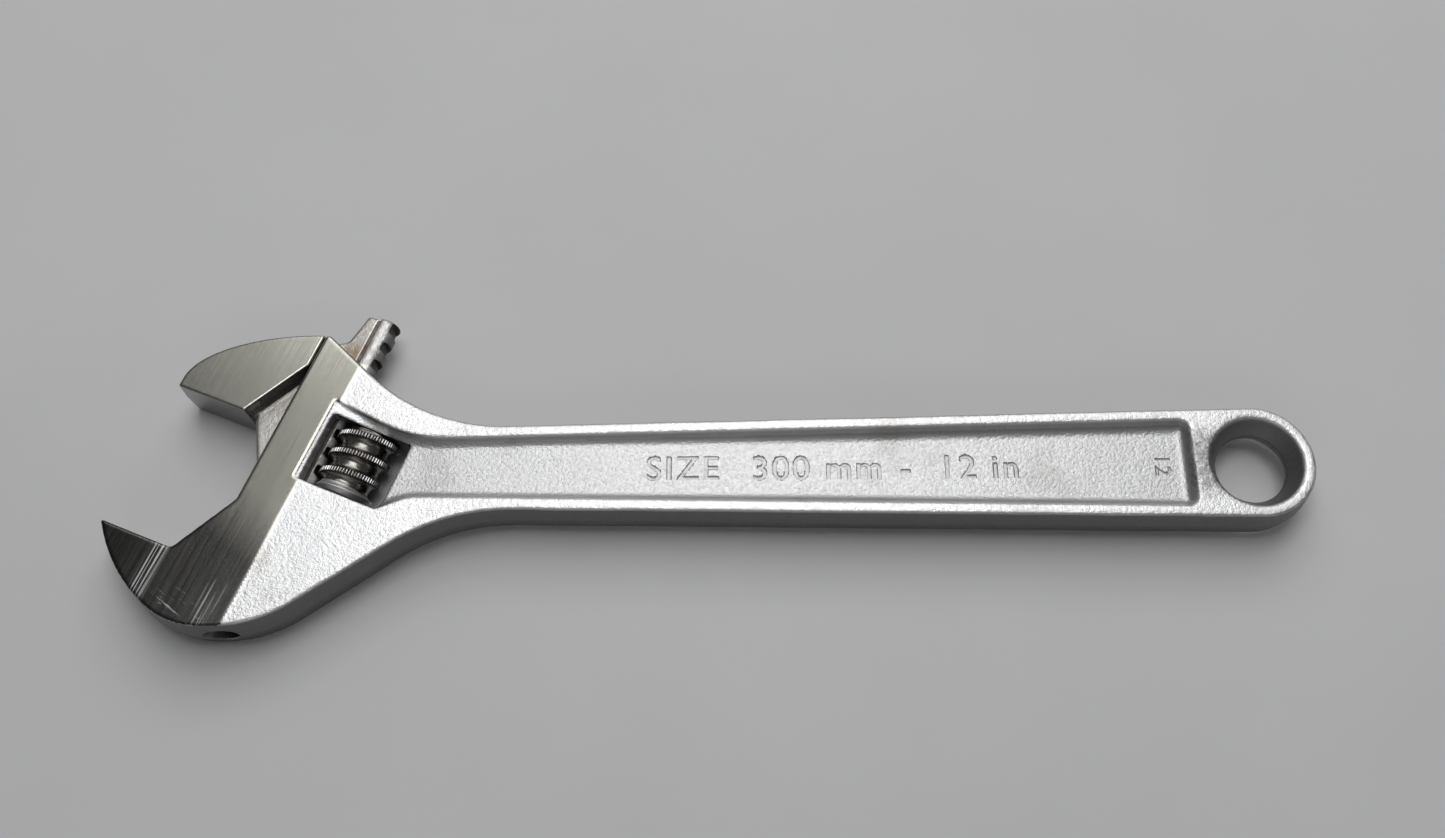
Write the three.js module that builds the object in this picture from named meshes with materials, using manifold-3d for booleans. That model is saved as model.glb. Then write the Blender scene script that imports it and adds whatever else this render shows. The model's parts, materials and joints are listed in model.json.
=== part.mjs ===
// Adjustable wrench of the 12 inch (300 mm) class, in millimetres, +Z up.
//
// Handle axes: +X runs along the handle towards the hang hole, Y across it, and the mid-plane
// of the forging is z = 0. Head axes: the movable jaw slides along +Y of a frame turned by
// HEAD_TILT about Z, and +X of that frame runs across the ground band, towards the handle.
// Both frames start beside the fixed jaw's tip, on the handle's centre line.
// At the end the assembly is moved so that its origin is the middle of the face it lies on.

import * as THREE from 'three';
import { mergeVertices } from 'three/addons/utils/BufferGeometryUtils.js';
import Module from 'manifold-3d';

// ---- overall ---------------------------------------------------------------------------------
const HEAD_TILT_DEG = -22;
const HEAD_THICK = 15.8;
const HANDLE_THICK = 13;
const DRAFT = 0.9; // how far the parting line stands out past the forging's top edges
const GAP = 0.35; // clearance between pieces that run on each other
const PARTING = 0.01; // half height of the upright strip between the two drafted halves
const BEYOND = 100; // reach of a cutter that goes right through

// ---- handle, in handle axes ------------------------------------------------------------------
// Corners are [x, y, rounding radius].
const EYE = { x: 288.2, radius: 14.4, sides: 16 };
const HOLE = { land: 8.9, mouth: 11.8, landHeight: 1.2 };
const LOWER_BEND = [84.9, -10.9, 51];
const UPPER_BEND = [78.3, 10.7, 51];
const FIXED_JAW_BACK = [3.75, -25.95, 43];
const CHIN = [19.5, -40.85, 22];
const HEEL = [40.6, -40.85, 33];
const PANEL = { floor: 4.1, wallRun: 1.8, lowBend: [75, -7.9, 14], highBend: [75, 7.9, 34] };
const PANEL_END = { x: 272.5, half: 11.7, corner: 2.5 };

// ---- head, in head axes ----------------------------------------------------------------------
const FACE_LOW = -12.5; // gripping face of the fixed jaw
const FACE_HIGH = 26.2; // gripping face of the movable jaw, fully open
const TRAVEL = FACE_HIGH - FACE_LOW;
const JAW_TIP = 5;
const JAW_ROOT = { low: 25, high: 24 }; // where each gripping face meets its relief
const JAW_ROOT_RADIUS = 1.6;
const THROAT = { x: 33.8, low: 4.5, high: 53.4, corner: 1, shoulder: 1.3 };
const RELIEF_END = 43.7; // top of the movable jaw's relief
const FOOT_GAP = 0.3; // between the movable jaw and the throat it slides along
const JAW_BACK = [[33.8, 52.8], [19.5, 47.8], [5.2, 37.4], [5, 29]]; // cubic curve
const BAND = { edge: 46, step: 0.4 }; // the forged skin starts this far below the ground band
const SKIN_END = 78; // where the forged skin has come down to the handle's faces
// The panel's floor is shallow beside the band and has come down to its full depth at rampEnd.
const PANEL_START = { x: 44.45, high: 37.4, floor: 7, rampEnd: 60 };

// ---- worm, its window, pin and spring, in head axes ------------------------------------------
const WINDOW = { left: 45.6, right: 66.8, low: 15.2, high: 34.2, corner: 0.8 };
const PITCH = 5.3;
const WORM = { x: 54.8, radius: 7.85, root: 5.9, bore: 2.3, leadIn: 1.4, edge: 0.3 };
const CREST = { half: 0.65, flank: 0.55, place: 26.4 }; // place: a crest on the worm's +Z side
const SPRING = { pocket: 4.1, depth: 4, coil: 3.1, wire: 0.4, turns: 2.5 };
const PIN = { radius: 1.9, low: 8.4, headRadius: 2.7, headLow: 37.8, high: 44.2, edge: 0.3 };
const PIN_SLOT = { width: 1, depth: 1.3 };

// ---- rod and web of the movable jaw, in head axes --------------------------------------------
const ROD = { x: 44.45, radius: 3.55, low: 14.3, high: 64.6, chamfer: 0.8 };
const GULLET = { floor: 46.5, mouth: 49, halfFloor: 1.05, halfMouth: 1.6 };
const WEB = {
  half: 2.9,
  edge: 0.6, // the chamfer all round its outline
  frontHigh: [25.6, 26.21],
  frontLow: [32.4, 14.3],
  crown: [39.4, 63.9, 0.9],
  neck: [37.7, 55, 2.2],
  insideJaw: [[31, 51], [31, 42], [25.6, 32.2]],
};
const WEB_SLOT = { clear: 0.45, start: 3 }; // start: how far up the slot's slant it begins

// ---- tools -----------------------------------------------------------------------------------
const wasm = await Module();
wasm.setup();

function solid(geometry) {
  geometry.deleteAttribute('normal');
  geometry.deleteAttribute('uv');
  const merged = mergeVertices(geometry, 1e-4);
  return new wasm.Manifold(new wasm.Mesh({
    numProp: 3,
    vertProperties: new Float32Array(merged.attributes.position.array),
    triVerts: new Uint32Array(merged.index.array),
  }));
}

function piece(name, body, color, roughness) {
  const mesh = body.getMesh();
  const geometry = new THREE.BufferGeometry();
  geometry.setAttribute('position', new THREE.BufferAttribute(mesh.vertProperties, 3));
  geometry.setIndex(new THREE.BufferAttribute(mesh.triVerts, 1));
  geometry.computeVertexNormals();
  const material = new THREE.MeshStandardMaterial({ color, roughness, metalness: 1 });
  const result = new THREE.Mesh(geometry, material);
  result.name = name;
  return result;
}

// Closed outline from corners [x, y, radius], each rounded by an arc of its radius.
function outline(corners, stepDegrees = 9) {
  const points = [];
  corners.forEach(([x, y, radius = 0], i) => {
    const corner = new THREE.Vector2(x, y);
    if (radius === 0) {
      points.push(corner);
      return;
    }
    const before = corners[(i + corners.length - 1) % corners.length];
    const after = corners[(i + 1) % corners.length];
    const back = new THREE.Vector2(before[0], before[1]).sub(corner).normalize();
    const ahead = new THREE.Vector2(after[0], after[1]).sub(corner).normalize();
    const half = Math.acos(THREE.MathUtils.clamp(back.dot(ahead), -1, 1)) / 2;
    const inward = back.clone().add(ahead).normalize();
    const centre = corner.clone().addScaledVector(inward, radius / Math.sin(half));
    const from = corner.clone().addScaledVector(back, radius / Math.tan(half)).sub(centre);
    const to = corner.clone().addScaledVector(ahead, radius / Math.tan(half)).sub(centre);
    const turn = Math.atan2(from.cross(to), from.dot(to));
    const steps = Math.ceil(Math.abs(THREE.MathUtils.radToDeg(turn)) / stepDegrees);
    for (let k = 0; k <= steps; k += 1) {
      points.push(from.clone().rotateAround(new THREE.Vector2(), (turn * k) / steps).add(centre));
    }
  });
  return new THREE.Shape(points);
}

// Upright prism between two heights.
function prism(shape, low, high) {
  const geometry = new THREE.ExtrudeGeometry(shape, { depth: high - low, bevelEnabled: false });
  return solid(geometry.translate(0, 0, low));
}

// Prism from -half to half whose side slopes: over the last `rise` of its height it runs in by
// `inset`, and `grow` moves the widest outline out from the given shape.
function slopedPrism(shape, half, rise, inset, grow = 0) {
  const geometry = new THREE.ExtrudeGeometry(shape, {
    depth: 2 * (half - rise),
    bevelThickness: rise,
    bevelSize: inset,
    bevelOffset: grow - inset,
    bevelSegments: 1,
  });
  return solid(geometry.translate(0, 0, rise - half));
}

// Turned piece about the Y axis, from [radius, y] points that start and end on the axis.
function turned(points, sides = 32) {
  return solid(new THREE.LatheGeometry(points.map(([r, y]) => new THREE.Vector2(r, y)), sides));
}

function shaft(radius, low, high, sides = 32) {
  return turned([[0, low], [radius, low], [radius, high], [0, high]], sides);
}

const onBothFaces = (cutter) => cutter.add(cutter.mirror([0, 0, 1]));
const fromHead = (body) => body.rotate([0, 0, HEAD_TILT_DEG]);

// Point of the head axes, in handle axes, with the rounding of that corner.
function headCorner(x, y, radius = 0) {
  const tilt = THREE.MathUtils.degToRad(HEAD_TILT_DEG);
  const point = new THREE.Vector2(x, y).rotateAround(new THREE.Vector2(), tilt);
  return [point.x, point.y, radius];
}

// Ridge of a right-hand thread about the Y axis. Angles are counted from +Z towards +X.
function threadRidge(profile, pitch, place, turnsBelow, turnsAbove, stepsPerTurn = 24) {
  const positions = [];
  const index = [];
  const count = profile.length;
  const rings = (turnsBelow + turnsAbove) * stepsPerTurn;
  for (let i = 0; i <= rings; i += 1) {
    const turn = i / stepsPerTurn - turnsBelow;
    const angle = 2 * Math.PI * turn;
    profile.forEach(([r, y]) => {
      positions.push(r * Math.sin(angle), place + y + pitch * turn, r * Math.cos(angle));
    });
  }
  for (let i = 0; i < rings; i += 1) {
    for (let j = 0; j < count; j += 1) {
      const a = i * count + j;
      const b = i * count + ((j + 1) % count);
      index.push(a, b, b + count, a, b + count, a + count);
    }
  }
  for (let j = 1; j < count - 1; j += 1) {
    const last = rings * count;
    index.push(0, j + 1, j, last, last + j, last + j + 1);
  }
  const geometry = new THREE.BufferGeometry();
  geometry.setAttribute('position', new THREE.Float32BufferAttribute(positions, 3));
  geometry.setIndex(index);
  return solid(geometry);
}

// ---- wrench body: fixed jaw, head and handle, one forging --------------------------------------
function forgingBlank() {
  const proud = 0.3; // the jaw opening trims this much off the blank
  const eye = [];
  for (let k = 0; k <= EYE.sides; k += 1) {
    const angle = -Math.PI / 2 + (Math.PI * k) / EYE.sides;
    eye.push([EYE.x + EYE.radius * Math.cos(angle), EYE.radius * Math.sin(angle)]);
  }
  const shape = outline([
    headCorner(JAW_TIP - proud / 2, FACE_LOW + proud),
    FIXED_JAW_BACK,
    CHIN,
    HEEL,
    LOWER_BEND,
    ...eye,
    UPPER_BEND,
    headCorner(THROAT.x - proud, THROAT.high + proud, THROAT.shoulder),
    headCorner(THROAT.x - proud, THROAT.low),
    headCorner(JAW_ROOT.low - proud, FACE_LOW + proud),
  ]);
  const half = HEAD_THICK / 2;
  return slopedPrism(shape, half, half - PARTING, DRAFT, DRAFT);
}

// Space between the jaws: fixed face, relief and throat are cut square to the mid-plane.
function jawOpening() {
  return prism(outline([
    [-BEYOND, FACE_LOW],
    [JAW_ROOT.low, FACE_LOW, JAW_ROOT_RADIUS],
    [THROAT.x, THROAT.low, THROAT.corner],
    [THROAT.x, BEYOND],
    [-BEYOND, BEYOND],
  ]), -BEYOND, BEYOND);
}

// Everything above the forged skin, which falls from the band to the handle's faces.
function aboveSkin() {
  const profile = new THREE.Shape([
    new THREE.Vector2(BAND.edge, HEAD_THICK / 2 - BAND.step),
    new THREE.Vector2(SKIN_END, HANDLE_THICK / 2),
    new THREE.Vector2(BAND.edge + 3 * BEYOND, HANDLE_THICK / 2),
    new THREE.Vector2(BAND.edge + 3 * BEYOND, HEAD_THICK),
    new THREE.Vector2(BAND.edge, HEAD_THICK),
  ]);
  return onBothFaces(alongBand(profile));
}

// A profile drawn in the plane across the band (n, z), stretched along it.
function alongBand(profile) {
  const geometry = new THREE.ExtrudeGeometry(profile, { depth: 3 * BEYOND, bevelEnabled: false });
  geometry.rotateX(Math.PI / 2).translate(0, 2 * BEYOND, 0);
  return solid(geometry);
}

function abovePanelFloor() {
  return alongBand(new THREE.Shape([
    new THREE.Vector2(-BEYOND, PANEL_START.floor),
    new THREE.Vector2(WINDOW.left, PANEL_START.floor),
    new THREE.Vector2(PANEL_START.rampEnd, PANEL.floor),
    new THREE.Vector2(4 * BEYOND, PANEL.floor),
    new THREE.Vector2(4 * BEYOND, BEYOND),
    new THREE.Vector2(-BEYOND, BEYOND),
  ]));
}

// Recessed panel: it starts along the band, runs round the worm's window and down the handle.
function panel() {
  const rim = outline([
    headCorner(PANEL_START.x, PANEL_START.high),
    headCorner(PANEL_START.x, WINDOW.low),
    headCorner(WINDOW.right, WINDOW.low),
    PANEL.lowBend,
    [PANEL_END.x, -PANEL_END.half, PANEL_END.corner],
    [PANEL_END.x, PANEL_END.half, PANEL_END.corner],
    PANEL.highBend,
  ]);
  const rise = HANDLE_THICK / 2 - PANEL.floor;
  const pocket = slopedPrism(rim, HEAD_THICK / 2, rise, PANEL.wallRun);
  const sunk = pocket.translate([0, 0, PANEL.floor + HEAD_THICK / 2]);
  return onBothFaces(sunk.intersect(fromHead(abovePanelFloor())));
}

function hangHole() {
  const face = HANDLE_THICK / 2;
  const cutter = turned([
    [0, -BEYOND], [HOLE.mouth, -BEYOND], [HOLE.mouth, -face], [HOLE.land, -HOLE.landHeight / 2],
    [HOLE.land, HOLE.landHeight / 2], [HOLE.mouth, face], [HOLE.mouth, BEYOND], [0, BEYOND],
  ], 48);
  return cutter.rotate([90, 0, 0]).translate([EYE.x, 0, 0]);
}

function wormWindow() {
  const { left, right, low, high, corner } = WINDOW;
  const corners = [[left, low], [right, low], [right, high], [left, high]];
  return prism(outline(corners.map(([x, y]) => [x, y, corner]), 30), -BEYOND, BEYOND);
}

// Bore of the rod and slot of the web, both open at the head's upper end.
function jawChannel() {
  const bore = shaft(ROD.radius + GAP, -BEYOND, BEYOND).translate([ROD.x, 0, 0]);
  const front = new THREE.Vector2(...WEB.frontHigh);
  const low = new THREE.Vector2(...WEB.frontLow);
  const along = front.clone().sub(low).normalize();
  const closed = new THREE.Vector2(0, -TRAVEL);
  const clear = new THREE.Vector2(-along.y, along.x).multiplyScalar(WEB_SLOT.clear).add(closed);
  const start = front.clone().addScaledVector(along, WEB_SLOT.start).add(clear);
  const end = low.clone().addScaledVector(along, -GAP).add(clear);
  const shape = outline([
    [start.x, start.y],
    [end.x, end.y],
    [ROD.x, end.y],
    [ROD.x, BEYOND],
    [start.x, BEYOND],
  ]);
  return bore.add(prism(shape, -WEB.half - GAP, WEB.half + GAP));
}

function pinHole() {
  const long = shaft(PIN.radius + GAP, PIN.low - GAP, BEYOND, 24);
  const wide = shaft(PIN.headRadius + GAP, PIN.headLow - GAP, BEYOND, 24);
  return long.add(wide).translate([WORM.x, 0, 0]);
}

function wrenchBody() {
  const cutters = [jawOpening(), aboveSkin(), wormWindow(), jawChannel(), pinHole()];
  const trimmed = cutters.reduce((rest, cutter) => rest.subtract(fromHead(cutter)), forgingBlank());
  return trimmed.subtract(panel()).subtract(hangHole());
}

// ---- movable jaw: jaw, web and toothed rod, one forging ----------------------------------------
function jawBlank() {
  const back = new THREE.CubicBezierCurve(...JAW_BACK.map(([x, y]) => new THREE.Vector2(x, y)));
  const shape = new THREE.Shape([
    new THREE.Vector2(JAW_TIP, FACE_HIGH - 1),
    new THREE.Vector2(THROAT.x, FACE_HIGH - 1),
    ...back.getPoints(16),
  ]);
  const half = HEAD_THICK / 2;
  const foot = THROAT.x - FOOT_GAP;
  const below = prism(outline([
    [-BEYOND, FACE_HIGH],
    [-BEYOND, -BEYOND],
    [BEYOND, -BEYOND],
    [BEYOND, BEYOND],
    [foot, BEYOND],
    [foot, RELIEF_END],
    [JAW_ROOT.high, FACE_HIGH],
  ]), -BEYOND, BEYOND);
  return slopedPrism(shape, half, half - PARTING, DRAFT, DRAFT).subtract(below);
}

function web() {
  const shape = outline([
    WEB.frontHigh,
    WEB.frontLow,
    [ROD.x, ROD.low],
    [ROD.x, WEB.crown[1]],
    WEB.crown,
    WEB.neck,
    ...WEB.insideJaw,
  ], 15);
  return slopedPrism(shape, WEB.half, WEB.edge, WEB.edge);
}

function rackGullet() {
  const shape = outline([
    [GULLET.floor, -GULLET.halfFloor],
    [GULLET.mouth, -GULLET.halfMouth],
    [GULLET.mouth, GULLET.halfMouth],
    [GULLET.floor, GULLET.halfFloor],
  ]);
  const lead = Math.atan(PITCH / (2 * Math.PI * WORM.radius));
  const cutter = prism(shape, -2 * ROD.radius, 2 * ROD.radius);
  return cutter.rotate([-THREE.MathUtils.radToDeg(lead), 0, 0]);
}

function movableJaw() {
  const { x, radius, low, high, chamfer } = ROD;
  let rod = turned([
    [0, low], [radius - chamfer, low], [radius, low + chamfer],
    [radius, high - chamfer], [radius - chamfer, high], [0, high],
  ]).translate([x, 0, 0]);
  const gullet = rackGullet();
  const first = CREST.place - PITCH / 4 - 2 * PITCH;
  for (let y = first; y < high; y += PITCH) {
    rod = rod.subtract(gullet.translate([0, y, 0]));
  }
  return jawBlank().add(web()).add(rod);
}

// ---- adjusting worm, spring and pin ------------------------------------------------------------
function adjustingWorm() {
  const low = WINDOW.low + GAP;
  const high = WINDOW.high - GAP;
  const spread = (r) => CREST.half + (CREST.flank * (WORM.radius - r)) / (WORM.radius - WORM.root);
  const overlap = 0.5;
  const inner = WORM.root - overlap;
  const outer = WORM.radius + overlap;
  const ridge = threadRidge([
    [inner, spread(inner)], [outer, spread(outer)], [outer, -spread(outer)], [inner, -spread(inner)],
  ], PITCH, CREST.place, 3, 2);
  const envelope = turned([
    [0, low], [WORM.radius - WORM.leadIn, low], [WORM.radius, low + WORM.leadIn],
    [WORM.radius, high - WORM.edge], [WORM.radius - WORM.edge, high], [0, high],
  ], 48);
  const core = shaft(WORM.root, low, high, 48);
  const bore = shaft(WORM.bore, low - 1, high + 1, 24);
  const pocket = shaft(SPRING.pocket, high - SPRING.depth, high + 1, 24);
  return ridge.intersect(envelope).add(core).subtract(bore).subtract(pocket);
}

class SpringHelix extends THREE.Curve {
  getPoint(t, target = new THREE.Vector3()) {
    const low = WINDOW.high - SPRING.depth + SPRING.wire;
    const high = WINDOW.high - GAP - SPRING.wire;
    const angle = 2 * Math.PI * SPRING.turns * t;
    const y = THREE.MathUtils.lerp(low, high, t);
    return target.set(SPRING.coil * Math.sin(angle), y, SPRING.coil * Math.cos(angle));
  }
}

function wormSpring() {
  const section = new THREE.Shape().absarc(0, 0, SPRING.wire, 0, 2 * Math.PI);
  return solid(new THREE.ExtrudeGeometry(section, {
    steps: 45,
    curveSegments: 4,
    extrudePath: new SpringHelix(),
  }));
}

function wormPin() {
  const pin = turned([
    [0, PIN.low], [PIN.radius, PIN.low], [PIN.radius, PIN.headLow], [PIN.headRadius, PIN.headLow],
    [PIN.headRadius, PIN.high - PIN.edge], [PIN.headRadius - PIN.edge, PIN.high], [0, PIN.high],
  ], 24);
  const slot = new THREE.BoxGeometry(3 * PIN.headRadius, 2 * PIN_SLOT.depth, PIN_SLOT.width);
  return pin.subtract(solid(slot.translate(0, PIN.high, 0)));
}

// ---- assembly ----------------------------------------------------------------------------------
const wrench = new THREE.Group();
const head = new THREE.Group();
head.rotation.z = THREE.MathUtils.degToRad(HEAD_TILT_DEG);
wrench.add(piece('wrench_body', wrenchBody(), 0xc9cacb, 0.38), head);
head.add(piece('movable_jaw', movableJaw(), 0xc4c4c2, 0.36));

const wormAxis = new THREE.Group();
wormAxis.position.x = WORM.x;
wormAxis.add(
  piece('adjusting_worm', adjustingWorm(), 0x9a9996, 0.28),
  piece('worm_spring', wormSpring(), 0x77777a, 0.35),
  piece('worm_pin', wormPin(), 0x8c8c8c, 0.35),
);
head.add(wormAxis);

wrench.updateMatrixWorld(true);
const bounds = new THREE.Box3().setFromObject(wrench, true);
const middle = bounds.getCenter(new THREE.Vector3());
wrench.position.set(-middle.x, -middle.y, -bounds.min.z);

export default wrench;
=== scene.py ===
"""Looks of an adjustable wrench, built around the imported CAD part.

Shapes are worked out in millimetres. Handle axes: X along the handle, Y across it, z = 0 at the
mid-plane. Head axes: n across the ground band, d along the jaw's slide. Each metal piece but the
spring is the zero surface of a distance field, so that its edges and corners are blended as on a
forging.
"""

import json
import math

import bmesh
import bpy
import numpy as np
from mathutils import Matrix, Vector


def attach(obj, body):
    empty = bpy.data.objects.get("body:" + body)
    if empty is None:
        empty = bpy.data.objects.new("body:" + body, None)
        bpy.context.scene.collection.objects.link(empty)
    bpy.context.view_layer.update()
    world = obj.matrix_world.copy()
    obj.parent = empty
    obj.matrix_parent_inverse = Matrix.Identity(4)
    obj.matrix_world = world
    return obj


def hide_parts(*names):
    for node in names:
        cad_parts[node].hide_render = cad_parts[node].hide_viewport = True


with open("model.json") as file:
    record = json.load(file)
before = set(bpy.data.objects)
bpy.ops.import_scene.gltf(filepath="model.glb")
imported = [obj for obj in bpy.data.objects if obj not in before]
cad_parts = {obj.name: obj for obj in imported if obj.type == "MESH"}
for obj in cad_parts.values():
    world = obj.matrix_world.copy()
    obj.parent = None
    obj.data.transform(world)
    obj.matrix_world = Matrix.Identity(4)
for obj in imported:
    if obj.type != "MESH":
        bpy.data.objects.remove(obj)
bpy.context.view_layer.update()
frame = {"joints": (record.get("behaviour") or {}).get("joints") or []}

MM = 0.001
BIG = 400.0

# ---- the frame's own positions ----------------------------------------------------------------
JOINTS = {j["name"]: j for j in frame["joints"]}
SPIN = JOINTS["worm_spin"]
TILT = -math.atan2(SPIN["axis"][0], SPIN["axis"][1])
COS, SIN = math.cos(TILT), math.sin(TILT)
WORM_N, WORM_D = 54.8, 24.7
SPIN_AT = Vector(SPIN["pos_m"]) / MM
ORIGIN = SPIN_AT - Vector((COS * WORM_N - SIN * WORM_D, SIN * WORM_N + COS * WORM_D, 0))

# ---- sizes, in millimetres --------------------------------------------------------------------
HEAD = 7.9
HANDLE = 6.5
DRAFT = 0.9
GAP = 0.35
FACE_LOW, FACE_HIGH = -12.5, 26.2
TRAVEL = FACE_HIGH - FACE_LOW
BAND_EDGE, BAND_STEP, SKIN_END = 46.0, 0.15, 78.0
EYE_X, EYE_R = 288.2, 14.4
WINDOW = (45.6, 66.8, 15.2, 34.2)
WINDOW_ROUND = 0.8
EYE_MOUTH = 8.9
PANEL_LEFT, PANEL_TOP = 44.5, 37.4
PANEL_FLOOR, PANEL_DEEPER, PANEL_LIFT, PANEL_RAMP = 4.3, 0.7, 3.2, 14.4
STEEP_WALL, GENTLE_WALL = 0.2, 0.75
PITCH, WORM_R, WORM_ROOT, CREST_AT = 5.3, 7.85, 5.9, 26.4
WORM_COLLAR, COLLAR_END, KNURLS, KNURL_DEPTH = 7.5, 2.9, 62, 0.45
CREST_HALF, CREST_FLANK = 0.65, 0.55
WORM_BORE, POCKET_R, POCKET_DEEP = 2.3, 4.1, 4
ROD_N, ROD_R, ROD_LOW, ROD_HIGH = 44.45, 3.55, 14.3, 64.6
GULLET_FLOOR = 46.5
WEB_HALF = 2.9
GROOVE_N, GROOVE_Z, GROOVE_R = 42.7, 3.2, 0.62
PIN_R, PIN_HEAD, PIN_LOW, PIN_STEP, PIN_HIGH = 1.9, 2.7, 8.4, 37.8, 44.2


# ---- plan outlines ----------------------------------------------------------------------------
def head_point(n, d, radius=0.0):
    return (COS * n - SIN * d, SIN * n + COS * d, radius)


def outline(corners, step=math.radians(4)):
    """Closed outline from corners (x, y, radius), each rounded by an arc of its radius."""
    points = []
    for i, (x, y, r) in enumerate(corners):
        corner = Vector((x, y))
        if r == 0:
            points.append(corner)
            continue
        back = (Vector(corners[i - 1][:2]) - corner).normalized()
        ahead = (Vector(corners[(i + 1) % len(corners)][:2]) - corner).normalized()
        half = math.acos(max(-1, min(1, back.dot(ahead)))) / 2
        centre = corner + (back + ahead).normalized() * (r / math.sin(half))
        start = corner + back * (r / math.tan(half)) - centre
        end = corner + ahead * (r / math.tan(half)) - centre
        turn = math.atan2(start.x * end.y - start.y * end.x, start.dot(end))
        count = max(2, math.ceil(abs(turn) / step))
        for k in range(count + 1):
            c, s = math.cos(turn * k / count), math.sin(turn * k / count)
            points.append(centre + Vector((c * start.x - s * start.y, s * start.x + c * start.y)))
    return points


def inside_outline(points, x, y):
    """Signed distance from (x, y) to a closed outline, negative inside it."""
    best = np.full(x.shape, 1e9)
    inside = np.zeros(x.shape, bool)
    for a, b in zip(points, points[1:] + points[:1]):
        ex, ey = b[0] - a[0], b[1] - a[1]
        length = ex * ex + ey * ey
        if length < 1e-12:
            continue
        px, py = x - a[0], y - a[1]
        t = np.clip((px * ex + py * ey) / length, 0, 1)
        best = np.minimum(best, (px - ex * t) ** 2 + (py - ey * t) ** 2)
        if a[1] != b[1]:
            inside ^= ((a[1] > y) != (b[1] > y)) & (px < py / ey * ex)
    return np.where(inside, -1, 1) * np.sqrt(best)


# ---- distance fields --------------------------------------------------------------------------
def both(a, b, k):
    """Inside where both fields are inside; the edge between them is rounded by about k."""
    h = np.maximum(k - np.abs(a - b), 0) / k
    return np.maximum(a, b) + h * h * k / 4


def either(a, b, k):
    """Inside where either field is inside."""
    return -both(-a, -b, k)


def without(a, b, k):
    """Inside a and outside b."""
    return both(a, -b, k)


def grid(low, high, step):
    """The x and y of every plan sample, and the heights of the layers."""
    axes = [np.arange(lo, hi + step, step, dtype=np.float32) for lo, hi in zip(low, high)]
    return np.meshgrid(axes[0], axes[1], indexing="ij"), axes[2]


def smooth_noise(shape, cell, seed):
    """Gentle unevenness from -1 to 1 over a plan grid, its waves about cell samples long."""
    rng = np.random.default_rng(seed)
    coarse = rng.uniform(-1, 1, (shape[0] // cell + 4, shape[1] // cell + 4))
    for axis in (0, 1):
        n = shape[axis]
        at = np.arange(n) / cell + 1
        i = at.astype(int)
        t = (at - i)[:, None] if axis == 0 else (at - i)[None, :]
        take = lambda k: np.take(coarse, i + k, axis=axis)
        a, b, c, e = take(-1), take(0), take(1), take(2)
        coarse = b + 0.5 * t * (c - a + t * (2 * a - 5 * b + 4 * c - e + t * (3 * (b - c) + e - a)))
    return coarse


def surface(field, low, step):
    """Points and quads of the field's zero surface, one point in each cell that it crosses."""
    nx, ny, nz = (n - 1 for n in field.shape)
    corners = [(i, j, k) for i in (0, 1) for j in (0, 1) for k in (0, 1)]
    solid = field < 0
    count = sum(solid[i:nx + i, j:ny + j, k:nz + k].astype(np.int8) for i, j, k in corners)
    cells = np.argwhere((count > 0) & (count < 8))
    number = np.full((nx, ny, nz), -1, np.int32)
    number[tuple(cells.T)] = np.arange(len(cells))
    values = [field[tuple((cells + c).T)] for c in corners]
    total = np.zeros((len(cells), 3))
    hits = np.zeros(len(cells))
    for p, a in enumerate(corners):
        for q, b in enumerate(corners):
            if q <= p or sum(abs(u - v) for u, v in zip(a, b)) != 1:
                continue
            va, vb = values[p], values[q]
            cross = (va < 0) != (vb < 0)
            t = np.where(cross, va / np.where(va == vb, 1, va - vb), 0)[:, None]
            total += cross[:, None] * (np.array(a) + t * (np.array(b) - np.array(a)))
            hits += cross
    points = np.array(low) + (cells + total / hits[:, None]) * step
    quads = []
    for axis in range(3):
        ahead = np.roll(solid, -1, axis)
        change = solid != ahead
        change[tuple(slice(-1, None) if i == axis else slice(None) for i in range(3))] = False
        at = np.argwhere(change)
        u, v = (axis + 1) % 3, (axis + 2) % 3
        at = at[(at[:, u] > 0) & (at[:, v] > 0) & (at[:, u] < field.shape[u] - 1)
                & (at[:, v] < field.shape[v] - 1)]
        ring = []
        for du, dv in ((-1, -1), (0, -1), (0, 0), (-1, 0)):
            cell = at.copy()
            cell[:, u] += du
            cell[:, v] += dv
            ring.append(number[tuple(cell.T)])
        quad = np.stack(ring, 1)
        out = solid[tuple(at.T)]
        quads.append(np.where(out[:, None], quad, quad[:, ::-1]))
    return points, np.concatenate(quads)


# ---- meshes -----------------------------------------------------------------------------------
def from_head(points):
    n, d, z = points.T
    return np.stack([COS * n - SIN * d, SIN * n + COS * d, z], 1)


def make_piece(name, points, faces, body, materials):
    """A mesh piece from points in handle axes, in millimetres."""
    mesh = bpy.data.meshes.new(name)
    mesh.vertices.add(len(points))
    mesh.vertices.foreach_set("co", ((points + np.array(ORIGIN)) * MM).astype(np.float32).ravel())
    faces = np.asarray(faces)
    sides = faces.shape[1]
    mesh.loops.add(faces.size)
    mesh.loops.foreach_set("vertex_index", faces.astype(np.int32).ravel())
    mesh.polygons.add(len(faces))
    mesh.polygons.foreach_set("loop_start", np.arange(len(faces), dtype=np.int32) * sides)
    mesh.update(calc_edges=True)
    mesh.validate()
    mesh.polygons.foreach_set("use_smooth", np.ones(len(mesh.polygons), bool))
    for material in materials:
        mesh.materials.append(material)
    piece = bpy.data.objects.new(name, mesh)
    bpy.context.scene.collection.objects.link(piece)
    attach(piece, body)
    return piece


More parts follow.
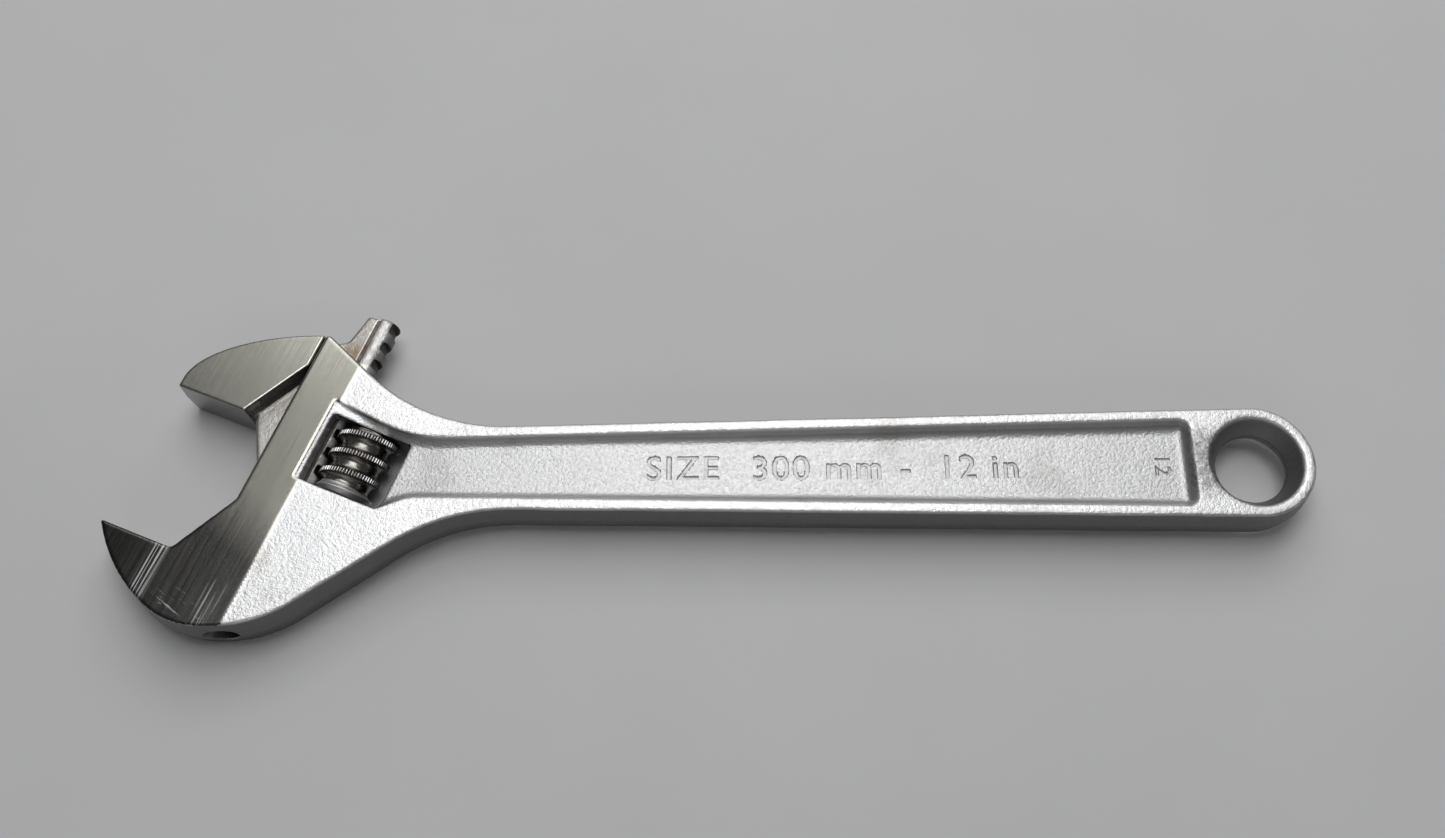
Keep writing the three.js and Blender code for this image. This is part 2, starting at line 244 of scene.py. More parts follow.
def face_centres(piece):
    """Centres and normals of a piece's faces, in head axes and millimetres."""
    polygons = piece.data.polygons
    centre = np.zeros(len(polygons) * 3, np.float32)
    normal = np.zeros(len(polygons) * 3, np.float32)
    polygons.foreach_get("center", centre)
    polygons.foreach_get("normal", normal)
    x, y, z = (centre.reshape(-1, 3) / MM - np.array(ORIGIN)).T
    return COS * x + SIN * y, COS * y - SIN * x, z, normal.reshape(-1, 3)


def set_materials(piece, index):
    piece.data.polygons.foreach_set("material_index", index.astype(np.int32))


# ---- materials --------------------------------------------------------------------------------
class Shader:
    """A node tree around one Principled shader."""

    def __init__(self, name, colour, metallic, roughness):
        self.material = bpy.data.materials.new(name)
        self.material.use_nodes = True
        self.tree = self.material.node_tree
        self.shader = self.tree.nodes["Principled BSDF"]
        self.shader.inputs["Base Color"].default_value = (*colour, 1)
        self.shader.inputs["Metallic"].default_value = metallic
        self.shader.inputs["Roughness"].default_value = roughness
        self.place = self.node("ShaderNodeTexCoord").outputs["Object"]

    def node(self, kind, **settings):
        made = self.tree.nodes.new(kind)
        for key, value in settings.items():
            setattr(made, key, value)
        return made

    def link(self, a, b):
        self.tree.links.new(a, b)

    def mapped(self, scale, turn=0.0):
        """The piece's own coordinates, turned about Z and then scaled by (x, y, z) per metre."""
        turned = self.node("ShaderNodeMapping")
        turned.inputs["Rotation"].default_value = (0, 0, turn)
        scaled = self.node("ShaderNodeMapping")
        scaled.inputs["Scale"].default_value = scale
        self.link(self.place, turned.inputs["Vector"])
        self.link(turned.outputs["Vector"], scaled.inputs["Vector"])
        return scaled.outputs["Vector"]

    def noise(self, scale, detail=3.0, turn=0.0, rough=0.55, distortion=0.0):
        made = self.node("ShaderNodeTexNoise")
        made.inputs["Scale"].default_value = 1.0
        made.inputs["Detail"].default_value = detail
        made.inputs["Roughness"].default_value = rough
        made.inputs["Distortion"].default_value = distortion
        self.link(self.mapped(scale, turn), made.inputs["Vector"])
        return made.outputs["Fac"]

    def ramp(self, value, low, high, out_low=0.0, out_high=1.0):
        made = self.node("ShaderNodeMapRange")
        made.inputs["From Min"].default_value = low
        made.inputs["From Max"].default_value = high
        made.inputs["To Min"].default_value = out_low
        made.inputs["To Max"].default_value = out_high
        self.link(value, made.inputs["Value"])
        return made.outputs["Result"]

    def maths(self, operation, a, b):
        made = self.node("ShaderNodeMath", operation=operation)
        for i, value in enumerate((a, b)):
            if isinstance(value, (int, float)):
                made.inputs[i].default_value = value
            else:
                self.link(value, made.inputs[i])
        return made.outputs[0]

    def mix(self, factor, a, b):
        made = self.node("ShaderNodeMix", data_type="RGBA")
        self.link(factor, made.inputs["Factor"])
        for socket, value in (("A", a), ("B", b)):
            target = [s for s in made.inputs if s.name == socket and s.type == "RGBA"][0]
            if isinstance(value, tuple):
                target.default_value = (*value, 1)
            else:
                self.link(value, target)
        return [s for s in made.outputs if s.type == "RGBA"][0]

    def bump(self, height, distance, strength=1.0, under=None):
        made = self.node("ShaderNodeBump")
        made.inputs["Strength"].default_value = strength
        made.inputs["Distance"].default_value = distance
        self.link(height, made.inputs["Height"])
        if under is not None:
            self.link(under, made.inputs["Normal"])
        return made.outputs["Normal"]

    def steep(self, low=0.35, high=0.8):
        """1 on upright faces, 0 on faces that look straight up or down."""
        split = self.node("ShaderNodeSeparateXYZ")
        self.link(self.node("ShaderNodeNewGeometry").outputs["Normal"], split.inputs["Vector"])
        return self.ramp(self.maths("ABSOLUTE", split.outputs["Z"], 0), high, low)

    def set(self, name, value):
        self.link(value, self.shader.inputs[name])


def forged_chrome(name, clean, grimy, edge=0.58, stain_and_shade_at=None, stain_and_shade_tone=None, reach=(4.6, 1.2)):
    """Satin plate over a forged skin: fine orange peel, soft waves, a little grime and painted shade
    on upright faces.
    """
    s = Shader(name, clean, 1.0, 0.46)
    peel = s.noise((2800, 2800, 2800), 2.0)
    pits = s.noise((1150, 1150, 1150), 3.0, rough=0.6)
    waves = s.noise((90, 90, 90), 2.0)
    stain = s.ramp(s.noise((38, 38, 38), 5.0, rough=0.65), edge, edge + 0.22)
    tone = s.mix(stain, clean, grimy)
    if stain_and_shade_at:
        # A darker patch around a point: a real brown stain on the web, painted shade on the land
        # beside the eye.
        apart = s.node("ShaderNodeVectorMath", operation="DISTANCE")
        s.link(s.mapped((1 / MM, 1 / MM, 1 / MM)), apart.inputs[0])
        apart.inputs[1].default_value = Vector(stain_and_shade_at) + ORIGIN
        near = s.ramp(apart.outputs["Value"], *reach)
        patchy = s.ramp(s.noise((700, 700, 700), 4.0, rough=0.7), 0.3, 0.6, 0.2)
        tone = s.mix(s.maths("MULTIPLY", near, patchy), tone, stain_and_shade_tone)
    # Upright faces are mixed towards dark grey: painted shade.
    s.set("Base Color", s.mix(s.steep(), tone, (0.2, 0.197, 0.193)))
    s.set("Roughness", s.ramp(pits, 0.3, 0.7, 0.4, 0.54))
    low = s.bump(waves, 0.0003, 0.4)
    middle = s.bump(pits, 0.00019, 1.0, low)
    s.set("Normal", s.bump(peel, 0.00005, 1.0, middle))
    return s.material


def ground_chrome():
    """Ground plate: fine lines along the slide, scratched towards the fixed jaw and darkened there
    as a painted reflection.
    """
    s = Shader("ground_chrome", (0.74, 0.73, 0.69), 1.0, 0.22)
    turn = -TILT
    split = s.node("ShaderNodeSeparateXYZ")
    s.link(s.mapped((1 / MM, 1 / MM, 1 / MM), turn), split.inputs["Vector"])
    start_n = COS * ORIGIN.x + SIN * ORIGIN.y
    start_d = COS * ORIGIN.y - SIN * ORIGIN.x
    n = s.maths("SUBTRACT", split.outputs["X"], start_n)
    d = s.maths("SUBTRACT", split.outputs["Y"], start_d)
    # Ramp towards the fixed jaw: it places the scratches and the painted dark reflection.
    wear_and_dark_reflection = s.ramp(s.maths("ADD", d, s.maths("MULTIPLY", n, 0.25)), 17, 2)
    lines = s.noise((5200, 110, 900), 2.0, turn, 0.6)
    fine = s.noise((1500, 30, 500), 4.0, turn, 0.6)
    thin = s.ramp(s.noise((2600, 20, 200), 3.0, turn, 0.6), 0.5, 0.6)
    bunch = s.ramp(s.maths("ABSOLUTE", s.maths("SUBTRACT", n, 22.6), 0), 2.6, 0.4)
    bunch = s.maths("MAXIMUM", bunch, s.ramp(s.noise((210, 16, 60), 2.0, turn, 0.5), 0.62, 0.74))
    scratch = s.maths("MULTIPLY", s.maths("MULTIPLY", thin, bunch), wear_and_dark_reflection)
    scuff = s.ramp(s.noise((130, 1300, 300), 3.0, turn + 0.25, 0.6, 0.6), 0.6, 0.74, 0, 0.7)
    scuff = s.maths("MULTIPLY", scuff, s.maths("MULTIPLY", s.ramp(d, -19, -28), s.ramp(n, 24, 29)))
    cloud = s.ramp(s.noise((60, 26, 40), 4.0, turn, 0.6), 0.35, 0.7)
    clean = s.mix(cloud, (0.6, 0.59, 0.52), (0.54, 0.53, 0.465))
    dark_reflection_tone = s.mix(cloud, (0.17, 0.166, 0.158), (0.09, 0.088, 0.085))
    tone = s.mix(wear_and_dark_reflection, clean, dark_reflection_tone)
    # Near black where n falls below 23, near the fixed jaw: more painted reflection.
    tone = s.mix(s.maths("MULTIPLY", wear_and_dark_reflection, s.ramp(n, 23, 15, 0, 0.6)), tone, (0.05, 0.048, 0.042))
    tone = s.mix(s.ramp(fine, 0.38, 0.62, 0, 0.22), tone, (0.2, 0.197, 0.185))
    tone = s.mix(s.maths("MAXIMUM", scratch, scuff), tone, (0.93, 0.93, 0.92))
    # Upright faces, the jaw faces among them, are mixed towards dark grey: painted shade.
    s.set("Base Color", s.mix(s.steep(0.2, 0.6), tone, (0.24, 0.235, 0.23)))
    rough = s.maths("ADD", s.ramp(fine, 0.3, 0.7, 0.2, 0.27), s.maths("MULTIPLY", scratch, 0.3))
    s.set("Roughness", s.maths("ADD", rough, s.maths("MULTIPLY", scuff, 0.25)))
    low = s.bump(lines, 0.00002, 0.35)
    s.set("Normal", s.bump(fine, 0.00003, 0.35, low))
    return s.material


def machined_steel(name, colour, rough, grime=(0.16, 0.12, 0.09), amount=(0.55, 0.75)):
    """Turned or milled steel with oily grime in patches; several materials below also use it for
    painted shade, one for a painted highlight.
    """
    s = Shader(name, colour, 1.0, rough)
    dirt = s.ramp(s.noise((210, 210, 210), 5.0, rough=0.7), *amount)
    fine = s.noise((1800, 1800, 1800), 2.0)
    s.set("Base Color", s.mix(dirt, colour, grime))
    s.set("Roughness", s.ramp(fine, 0.3, 0.7, rough - 0.05, rough + 0.08))
    s.set("Normal", s.bump(fine, 0.00003, 0.6))
    return s.material


def rusty_groove():
    """Brown grime packed into the groove beside the rod."""
    s = Shader("groove_grime", (0.2, 0.13, 0.08), 0.3, 0.75)
    clumps = s.noise((520, 520, 520), 5.0, rough=0.7)
    s.set("Base Color", s.mix(s.ramp(clumps, 0.35, 0.65), (0.15, 0.1, 0.065), (0.42, 0.36, 0.3)))
    s.set("Normal", s.bump(clumps, 0.0004, 0.8))
    return s.material


# The skin's patch darkens the land beside the eye: painted shade.
FORGED = forged_chrome("forged_chrome", (0.97, 0.97, 0.975), (0.66, 0.63, 0.58), 0.58,
                       (274.5, 0, 6.5), (0.36, 0.36, 0.36), (11, 6))
# Recess floor chrome, a dimmer copy of the skin: painted shade.
SHADED_PANEL = forged_chrome("panel_chrome_painted_shade", (0.7, 0.7, 0.705), (0.5, 0.49, 0.47))
ROD = forged_chrome("rod_skin", (0.93, 0.93, 0.925), (0.48, 0.46, 0.43), 0.5)
WEB = forged_chrome("web_skin", (0.62, 0.6, 0.57), (0.4, 0.36, 0.31), 0.45,
                    head_point(41.0, 51.5, 2.9), (0.3, 0.2, 0.11))
GROUND = ground_chrome()
# Dark steel on the walls of the bores and the window: painted shade.
BORE_SHADE_STEEL = machined_steel("bore_painted_shade", (0.2, 0.195, 0.19), 0.42)
# Mid grey for the stamped letters, also on the window's left wall as painted shade.
STAMP_AND_WALL_SHADE = machined_steel("stamped_chrome_and_wall_shade", (0.6, 0.6, 0.6), 0.5, (0.35, 0.34, 0.33))
# Near black on the window's right wall: painted shade.
RIGHT_WALL_SHADE = machined_steel("window_wall_painted_shade", (0.035, 0.034, 0.033), 0.6, (0.025, 0.02, 0.018))
# Near-black steel: painted shade over grease in the rack's gullets, painted shade on the rod by the
# window wall and on the worm's flanks.
SHADE_AND_GREASE = machined_steel("rack_painted_shade_and_grease", (0.1, 0.09, 0.08), 0.45, (0.05, 0.04, 0.035), (0.4, 0.65))
KNURLED = machined_steel("knurled_steel", (0.8, 0.79, 0.78), 0.3, (0.3, 0.27, 0.25), (0.66, 0.9))
ROOT = machined_steel("worm_root_steel", (0.36, 0.345, 0.32), 0.26, (0.24, 0.21, 0.18), (0.4, 0.9))
# Near white steel for the worm's end collar: painted highlight.
LIT_COLLAR = machined_steel("worm_collar_painted_highlight", (0.95, 0.94, 0.92), 0.46, (0.45, 0.4, 0.36), (0.6, 0.9))
PIN_STEEL = machined_steel("pin_steel", (0.45, 0.44, 0.43), 0.3)
WIRE = machined_steel("wire_steel", (0.36, 0.36, 0.37), 0.34)
GRIME = rusty_groove()


# ---- the body ---------------------------------------------------------------------------------
def round_box(x, y, bounds, r):
    left, right, low, high = bounds
    qx = np.abs(x - (left + right) / 2) - (right - left) / 2 + r
    qy = np.abs(y - (low + high) / 2) - (high - low) / 2 + r
    return np.hypot(np.maximum(qx, 0), np.maximum(qy, 0)) + np.minimum(np.maximum(qx, qy), 0) - r


def blend(x, low, high):
    t = np.clip((x - low) / (high - low), 0, 1)
    return t * t * (3 - 2 * t)


def jaw_opening(n, d):
    return inside_outline(outline([
        (-BIG, FACE_LOW, 0), (25, FACE_LOW, 1.6), (33.8, 4.5, 1), (33.8, BIG, 0), (-BIG, BIG, 0),
    ]), n, d)


def panel_rim(x, y):
    return inside_outline(outline([
        head_point(PANEL_LEFT, PANEL_TOP), head_point(PANEL_LEFT, WINDOW[2]),
        head_point(WINDOW[1], WINDOW[2]),
        (75, -7.9, 14), (272.5, -11.7, 2.6), (272.5, 11.7, 2.6), (75, 7.9, 34),
    ]), x, y)


def web_slot(n, d):
    front = Vector((25.6, 26.21))
    low = Vector((32.4, 14.3))
    along = (front - low).normalized()
    clear = Vector((-along.y, along.x)) * 0.45 - Vector((0, TRAVEL))
    start = front + along * 3 + clear
    end = low - along * GAP + clear
    return inside_outline([
        (start.x, start.y), (end.x, end.y), (ROD_N, end.y), (ROD_N, BIG), (start.x, BIG),
    ], n, d)


def body_field(x, y, heights):
    n, d = COS * x + SIN * y, COS * y - SIN * x
    arc = [math.radians(a) for a in range(-90, 91, 6)]
    blank = inside_outline(outline([
        head_point(4.85, FACE_LOW + 0.3),
        (3.75, -25.95, 43), (19.5, -40.85, 22), (40.6, -40.85, 33),
        (84.9, -10.9, 51),
        *[(EYE_X + EYE_R * math.cos(a), EYE_R * math.sin(a), 0) for a in arc],
        (78.3, 10.7, 51),
        head_point(33.5, 53.7, 1.3), head_point(33.5, 4.5), head_point(24.7, FACE_LOW + 0.3),
    ]), x, y)
    opening = jaw_opening(n, d)
    rim = panel_rim(x, y)
    window = round_box(n, d, WINDOW, WINDOW_ROUND)
    slot = web_slot(n, d)
    eye = np.hypot(x - EYE_X, y)
    forged = blend(n, BAND_EDGE - 0.3, BAND_EDGE + 1.2)
    top = HEAD - BAND_STEP * blend(n, BAND_EDGE, BAND_EDGE + 0.5)
    fall = np.clip((n - BAND_EDGE) / (SKIN_END - BAND_EDGE), 0, 1)
    top = top - (HEAD - BAND_STEP - HANDLE) * fall
    top = top + forged * 0.025 * smooth_noise(x.shape, 16, 3)
    floor = PANEL_FLOOR - PANEL_DEEPER * blend(x, 110, 190) + 0.03 * smooth_noise(x.shape, 24, 5)
    floor = floor + PANEL_LIFT * (1 - np.clip((n - WINDOW[0]) / PANEL_RAMP, 0, 1))
    wave = forged * 0.06 * smooth_noise(x.shape, 24, 8)
    edge = 0.4 + 0.6 * forged
    beside = blend(n, 46.5, 49)
    field = np.empty((*x.shape, len(heights)), np.float32)
    for i, z in enumerate(heights):
        h = math.sqrt(z * z + 0.04)
        side = blank - DRAFT * (1 - h / HEAD) + wave
        steep = STEEP_WALL * max(HEAD - h, 0)
        gentle = GENTLE_WALL * max(HANDLE - h, 0)
        wall = rim + steep + (gentle - steep) * beside
        wall = wall / np.hypot(1, STEEP_WALL + (GENTLE_WALL - STEEP_WALL) * beside)
        recess = both(wall, floor - h, 0.4 + 0.6 * beside)
        f = both(both(side, -opening, 0.3), h - top, edge)
        f = without(f, recess, 0.3 + 0.2 * beside)
        f = without(f, window, 0.35)
        f = without(f, np.hypot(n - ROD_N, z) - ROD_R - GAP, 0.35)
        f = without(f, np.maximum(slot, h - WEB_HALF - GAP), 0.3)
        thin = np.maximum(np.hypot(n - WORM_N, z) - PIN_R - GAP, PIN_LOW - GAP - d)
        wide = np.maximum(np.hypot(n - WORM_N, z) - PIN_HEAD - GAP, PIN_STEP - GAP - d)
        f = without(f, np.minimum(thin, wide), 0.3)
        mouth = EYE_MOUTH + max(h - 0.7, 0) * 0.5
        field[:, :, i] = without(f, (eye - mouth) * 0.9, 0.9)
    return field


def build_body():
    step = 0.4
    low = (-2.0, -43.6, -8.8)
    (x, y), heights = grid(low, (305.4, 38.6, 8.8), step)
    points, faces = surface(body_field(x, y, heights), low, step)
    piece = make_piece("body_forging", points, faces, "body",
                       [FORGED, GROUND, BORE_SHADE_STEEL, STAMP_AND_WALL_SHADE, SHADED_PANEL, RIGHT_WALL_SHADE])
    n, d, z, normal = face_centres(piece)
    index = np.zeros(len(n))
    opening = jaw_opening(n, d)
    index[(n < BAND_EDGE + 0.05) & (np.abs(z) > HEAD - 0.25)] = 1
    index[(n < BAND_EDGE) & (opening < 0.5)] = 1
    # Recess floor faces on the handle take the dimmer chrome: painted shade.
    index[(panel_rim(COS * n - SIN * d, SIN * n + COS * d) < 0) & (np.abs(z) < 5) & (n > 60)] = 4
    # Walls of the rod bore, the web slot and the pin hole take the dark steel: painted shade.
    bore = np.hypot(n - ROD_N, z) < ROD_R + GAP + 0.12
    slot = (web_slot(n, d) < 0.15) & (np.abs(z) < WEB_HALF + GAP + 0.15)
    hole = (np.hypot(n - WORM_N, z) < PIN_HEAD + GAP + 0.12) & (d > PIN_LOW - 1)
    index[bore | slot | hole] = 2
    # The window's walls are darker than the skin as painted shade: dark steel on most, mid grey on
    # the left wall, near black on the right wall.
    from_window = round_box(n, d, WINDOW, WINDOW_ROUND)
    side = (from_window < 0.12) & (np.abs(normal[:, 2]) < 0.4)
    index[side] = 2
    index[side & (n < WINDOW[0] + 0.6) & ~bore & ~slot] = 3
    index[(from_window < 0.35) & (normal[:, 2] < 0.75) & (n > WINDOW[1] - 0.6)] = 5
    set_materials(piece, index)
    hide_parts("wrench_body")
    return piece


def stamp(piece, words, size, centre, turn=0.0, depth=0.4):
    """Letters pressed into the recess floor; centre is in handle axes, z at the floor."""
    curve = bpy.data.curves.new("stamp", "FONT")
    curve.body = words
    curve.size = size * MM
    curve.align_x = "CENTER"
    curve.align_y = "CENTER"
    curve.space_character = 1.12
    curve.extrude = depth * MM
    curve.offset = 0.00002
    letters = bpy.data.objects.new("stamp", curve)
    bpy.context.scene.collection.objects.link(letters)
    letters.location = (Vector(centre) + ORIGIN) * MM
    letters.rotation_euler = (0, 0, turn)
    bpy.context.view_layer.update()
    graph = bpy.context.evaluated_depsgraph_get()
    mesh = bpy.data.meshes.new_from_object(letters.evaluated_get(graph))
    closed = bmesh.new()
    closed.from_mesh(mesh)
    bmesh.ops.remove_doubles(closed, verts=closed.verts, dist=1e-7)
    closed.to_mesh(mesh)
    closed.free()
    mesh.transform(letters.matrix_world)
    mesh.materials.clear()
    mesh.materials.append(STAMP_AND_WALL_SHADE)
    cutter = bpy.data.objects.new("stamp_cutter", mesh)
    bpy.context.scene.collection.objects.link(cutter)
    cut = piece.modifiers.new("stamp", "BOOLEAN")
    cut.operation = "DIFFERENCE"
    cut.solver = "MANIFOLD"
    cut.material_mode = "TRANSFER"
    cut.object = cutter
    bpy.context.view_layer.update()
    graph = bpy.context.evaluated_depsgraph_get()
    result = bpy.data.meshes.new_from_object(piece.evaluated_get(graph))
    piece.modifiers.clear()
    if len(result.polygons) > 0.9 * len(piece.data.polygons):
        piece.data = result
    for spare in (letters, cutter):
        bpy.data.objects.remove(spare)


# ---- the movable jaw --------------------------------------------------------------------------
def cubic(points, count):
    p = [Vector(q) for q in points]
    for k in range(count + 1):
        t = k / count
        s = 1 - t
        yield s ** 3 * p[0] + 3 * s * s * t * p[1] + 3 * s * t * t * p[2] + t ** 3 * p[3]


def jaw_field(n, d, heights):
    back = list(cubic([(33.8, 52.8), (19.5, 47.8), (5.2, 37.4), (5, 29)], 40))
    blank = inside_outline([Vector((5, 25.2)), Vector((33.8, 25.2)), *back], n, d)
    below = inside_outline(outline([
        (-BIG, FACE_HIGH, 0), (-BIG, -BIG, 0), (BIG, -BIG, 0), (BIG, BIG, 0),
        (33.5, BIG, 0), (33.5, 43.7, 0.6), (24, FACE_HIGH, 0),
    ]), n, d)
    web = inside_outline(outline([
        (25.6, 26.21, 0), (32.4, 14.3, 0.8), (44.9, 14.3, 0), (44.9, 63.9, 0), (39.4, 63.9, 0.9),
        (37.7, 55, 2.2), (31, 51, 0), (31, 42, 0), (25.6, 32.2, 0),
    ]), n, d)
    lead = PITCH / (2 * math.pi * WORM_R)
    first = CREST_AT - PITCH / 4 - 2 * PITCH
    field = np.empty((*n.shape, len(heights)), np.float32)
    middle, half = (ROD_LOW + ROD_HIGH) / 2, (ROD_HIGH - ROD_LOW) / 2
    for i, z in enumerate(heights):
        h = math.sqrt(z * z + 0.02)
        jaw = both(blank - DRAFT * (1 - h / HEAD), -below, 0.35)
        jaw = both(jaw, h - HEAD, 0.45)
        plate = both(web, h - WEB_HALF, 1.0)
        rod = both(np.hypot(n - ROD_N, z) - ROD_R, np.abs(d - middle) - half, 1.5)
        place = (d - first - z * lead + PITCH / 2) % PITCH - PITCH / 2
        gullet = np.maximum(np.abs(place) - 1.05 - 0.22 * (n - GULLET_FLOOR), GULLET_FLOOR - n)
        gullet = np.maximum(gullet, first - PITCH / 2 - d)
        rod = without(rod, gullet, 0.25)
        jaw = either(either(jaw, plate, 1.8), rod, 0.35)
        groove = np.maximum(np.hypot(n - GROOVE_N, h - GROOVE_Z) - GROOVE_R, 44.5 - d)
        field[:, :, i] = without(jaw, groove, 0.2)
    return field


def build_jaw():
    step = 0.25
    low = (2.8, 12.6, -8.6)
    (n, d), heights = grid(low, (51.6, 66.4, 8.6), step)
    points, faces = surface(jaw_field(n, d, heights), low, step)
    piece = make_piece("jaw_forging", from_head(points), faces, "jaw",
                       [GROUND, FORGED, SHADE_AND_GREASE, GRIME, WEB, ROD])
    n, d, z, normal = face_centres(piece)
    index = np.zeros(len(n))
    web = (np.abs(z) < WEB_HALF + 0.3) & (n > 26)
    rod = (np.hypot(n - ROD_N, z) < ROD_R + 0.2) & (n > 42)
    back = (n < 33.3) & (np.abs(z) < HEAD - 0.4) & (d > 30) & (normal[:, 2] ** 2 < 0.2)
    index[back & ~web] = 1
    index[web] = 4
    index[rod] = 5
    # The rod's strip beside the window's left wall takes the near-black steel: painted shadow of the
    # wall.
    index[rod & (np.abs(n - 45.5) < 0.6) & (d < 48)] = 2
    # Gullets between the rack's teeth take the near-black steel: painted shade over grease.
    flank = rod & (n > GULLET_FLOOR - 0.2) & (np.hypot(n - ROD_N, z) < ROD_R - 0.08)
    index[flank] = 2
    index[(np.abs(n - GROOVE_N) < 0.62) & (np.abs(z) < 3.2) & (np.abs(z) > 2.2) & (d < 63.6)] = 3
    set_materials(piece, index)
    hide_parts("movable_jaw")


# ---- worm, pin and spring ---------------------------------------------------------------------
def build_worm():
    """The worm. The rim of its flared collar reaches about 0.2 mm into the rod's nearest tooth."""
    step = 0.12
    low_end, high_end = WINDOW[2] + GAP, WINDOW[3] - GAP
    low = (WORM_N - 8.1, low_end - 0.4, -8.1)
    (n, d), heights = grid(low, (WORM_N + 8.1, high_end + 0.4, 8.1), step)
    field = np.empty((*n.shape, len(heights)), np.float32)
    for i, z in enumerate(heights):
        r = np.hypot(n - WORM_N, z)
        angle = np.arctan2(n - WORM_N, z)
        turn = angle / (2 * math.pi)
        place = (d - CREST_AT - PITCH * turn + PITCH / 2) % PITCH - PITCH / 2
        spread = CREST_HALF + CREST_FLANK * (WORM_R - r) / (WORM_R - WORM_ROOT)
        knurl = KNURL_DEPTH * np.abs((turn * KNURLS) % 1 * 2 - 1) * (d > low_end + 2.4)
        ridge = both(0.96 * (np.abs(place) - spread), r - WORM_R + knurl, 0.25)
        flare = (WORM_COLLAR - WORM_ROOT) * (d - low_end) / COLLAR_END
        collar = both((r - WORM_COLLAR + flare) * 0.88, d - low_end - COLLAR_END, 0.3)
        f = either(ridge, either(r - WORM_ROOT, collar, 0.6), 1.2)
        ends = both(low_end - d, d - high_end, 0.2)
        cone = (r + 0.8 * (low_end - d) - WORM_R + 1.7) * 0.78
        f = both(both(f, ends, 0.25), cone, 0.2)
        f = without(f, r - WORM_BORE, 0.2)
        field[:, :, i] = without(f, np.maximum(r - POCKET_R, high_end - POCKET_DEEP - d), 0.2)
    points, faces = surface(field, low, step)
    piece = make_piece("worm_knurled", from_head(points), faces, "worm",
                       [KNURLED, ROOT, LIT_COLLAR, SHADE_AND_GREASE])
    n, d, z, normal = face_centres(piece)
    r = np.hypot(n - WORM_N, z)
    index = (r < WORM_R - 0.7).astype(int)
    # The collar takes the near white steel: painted highlight.
    index[d < low_end + COLLAR_END - 0.2] = 2
    # Thread flanks just under the crest take the near-black steel: painted shade.
    index[(index == 0) & (r < WORM_R - 0.22)] = 3
    set_materials(piece, index)
    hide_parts("adjusting_worm")


def build_pin():
    step = 0.2
    low = (WORM_N - 3.2, PIN_LOW - 0.6, -3.2)
    (n, d), heights = grid(low, (WORM_N + 3.2, PIN_HIGH + 0.6, 3.2), step)
    field = np.empty((*n.shape, len(heights)), np.float32)
    for i, z in enumerate(heights):
        r = np.hypot(n - WORM_N, z)
        thin = both(r - PIN_R, np.maximum(PIN_LOW - d, d - PIN_HIGH + 2), 0.6)
        wide = both(r - PIN_HEAD, np.maximum(PIN_STEP - d, d - PIN_HIGH), 0.6)
        f = either(thin, wide, 0.3)
        field[:, :, i] = without(f, np.maximum(abs(z) - 0.5, PIN_HIGH - 1.3 - d), 0.15)
    points, faces = surface(field, low, step)
    piece = make_piece("pin_slotted", from_head(points), faces, "body", [PIN_STEEL])
    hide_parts("worm_pin")


def build_spring():
    coil, wire, turns, sides, rings = 3.1, 0.4, 2.5, 14, 150
    low, high = WINDOW[3] - POCKET_DEEP + wire, WINDOW[3] - GAP - wire
    points, faces = [], []
    for i in range(rings + 1):
        t = i / rings
        a = 2 * math.pi * turns * t
        out = Vector((math.sin(a), 0, math.cos(a)))
        centre = Vector((WORM_N, low + (high - low) * t, 0)) + out * coil
        size = wire * math.sqrt(max(0.02, 1 - max(0, abs(2 * t - 1) - 0.985) / 0.0155))
        for k in range(sides):
            b = 2 * math.pi * k / sides
            points.append(centre + size * (math.cos(b) * out + math.sin(b) * Vector((0, 1, 0))))
    for i in range(rings):
        for k in range(sides):
            a, b = i * sides + k, i * sides + (k + 1) % sides
            faces.append((a, b, b + sides, a + sides))
    for k in range(1, sides // 2):
        faces.append((k, k - 1, sides - k, (sides - k - 1)))
        last = rings * sides
        faces.append((last + k - 1, last + k, last + sides - k - 1, last + sides - k))
    points = from_head(np.array([tuple(p) for p in points]))
    piece = make_piece("worm_coil", points, faces, "body", [WIRE])
    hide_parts("worm_spring")


# ---- studio -----------------------------------------------------------------------------------
def floor():
    s = Shader("floor_card", (0.7, 0.7, 0.7), 0.0, 0.9)
    mottle = s.ramp(s.noise((9, 9, 9), 4.0), 0.3, 0.7)
    s.set("Base Color", s.mix(mottle, (0.8, 0.8, 0.805), (0.84, 0.84, 0.845)))
    mesh = bpy.data.meshes.new("floor")
    w = 3.0
    mesh.from_pydata([(-w, -w, 0), (w, -w, 0), (w, w, 0), (-w, w, 0)], [], [(0, 1, 2, 3)])
    mesh.materials.append(s.material)
    plane = bpy.data.objects.new("floor", mesh)
    bpy.context.scene.collection.objects.link(plane)


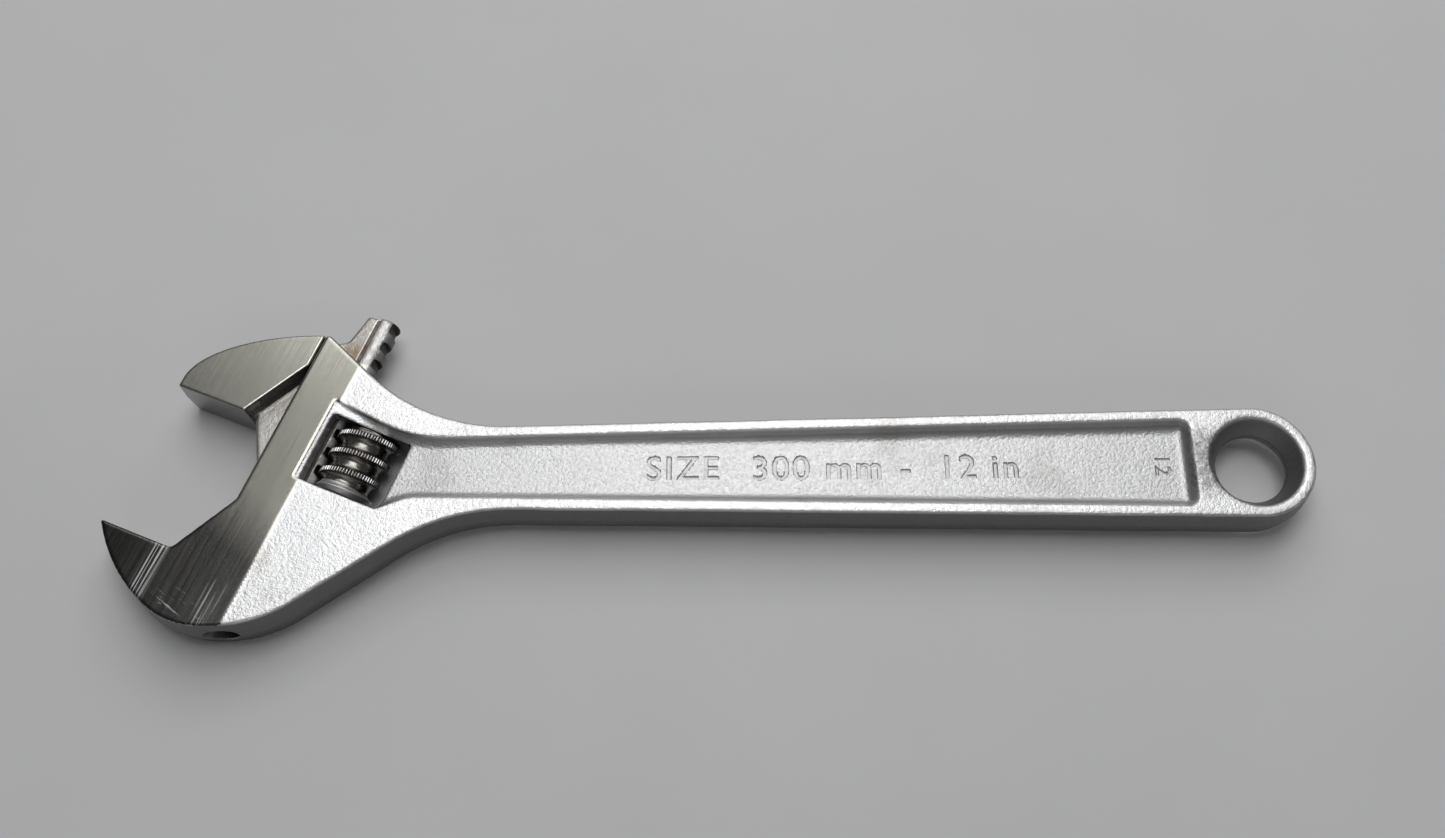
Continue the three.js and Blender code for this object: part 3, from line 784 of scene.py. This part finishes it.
def softbox(name, at, target, size, power):
    light = bpy.data.lights.new(name, "AREA")
    light.shape = "RECTANGLE"
    light.size, light.size_y = size
    light.energy = power
    lamp = bpy.data.objects.new(name, light)
    bpy.context.scene.collection.objects.link(lamp)
    lamp.location = at
    lamp.rotation_euler = (Vector(target) - Vector(at)).to_track_quat("-Z", "Y").to_euler()


def camera():
    elevation, roll, yaw = math.radians(67.494), math.radians(-1.628), math.radians(-1.295)
    ahead = Vector((math.sin(yaw) * math.cos(elevation), math.cos(yaw) * math.cos(elevation),
                    -math.sin(elevation)))
    right = Vector((math.cos(yaw), -math.sin(yaw), 0))
    up = right.cross(ahead)
    right2 = math.cos(roll) * right + math.sin(roll) * up
    up2 = -math.sin(roll) * right + math.cos(roll) * up
    data = bpy.data.cameras.new("camera")
    data.sensor_width = 36
    data.lens = 36.363
    data.clip_start = 0.01
    cam = bpy.data.objects.new("camera", data)
    bpy.context.scene.collection.objects.link(cam)
    turn = Matrix((right2, up2, -ahead)).transposed().to_4x4()
    place = (ORIGIN + Vector((157.377, -129.568, 349.45))) * MM
    cam.matrix_world = Matrix.Translation(place) @ turn
    bpy.context.scene.camera = cam


def studio():
    scene = bpy.context.scene
    world = bpy.data.worlds.new("studio")
    world.use_nodes = True
    world.node_tree.nodes["Background"].inputs["Color"].default_value = (0.93, 0.95, 1, 1)
    world.node_tree.nodes["Background"].inputs["Strength"].default_value = 0.07
    scene.world = world
    scene.view_settings.view_transform = "Standard"
    softbox("key", (0.1, 0.85, 1.0), (0, 0, 0), (1.3, 0.8), 4.9)
    softbox("top", (-0.04, 0.12, 1.15), (-0.04, 0, 0), (0.7, 0.4), 2.6)
    softbox("north", (0, 0.36, 1.0), (0, 0, 0), (0.5, 0.16), 0.7)
    softbox("south", (-0.1, -0.9, 0.75), (0, 0, 0), (0.9, 0.35), 0.5)


camera()
floor()
studio()
body = build_body()
build_jaw()
build_worm()
build_pin()
build_spring()
stamp(body, "SIZE", 9.2, (144, -0.2, 4.0))
stamp(body, "300 mm", 9.2, (178, -0.2, 3.7))
stamp(body, "-  12 in", 9.2, (214, -0.2, 3.55))
stamp(body, "12", 5.4, (265, 0.2, 3.55), -math.pi / 2)
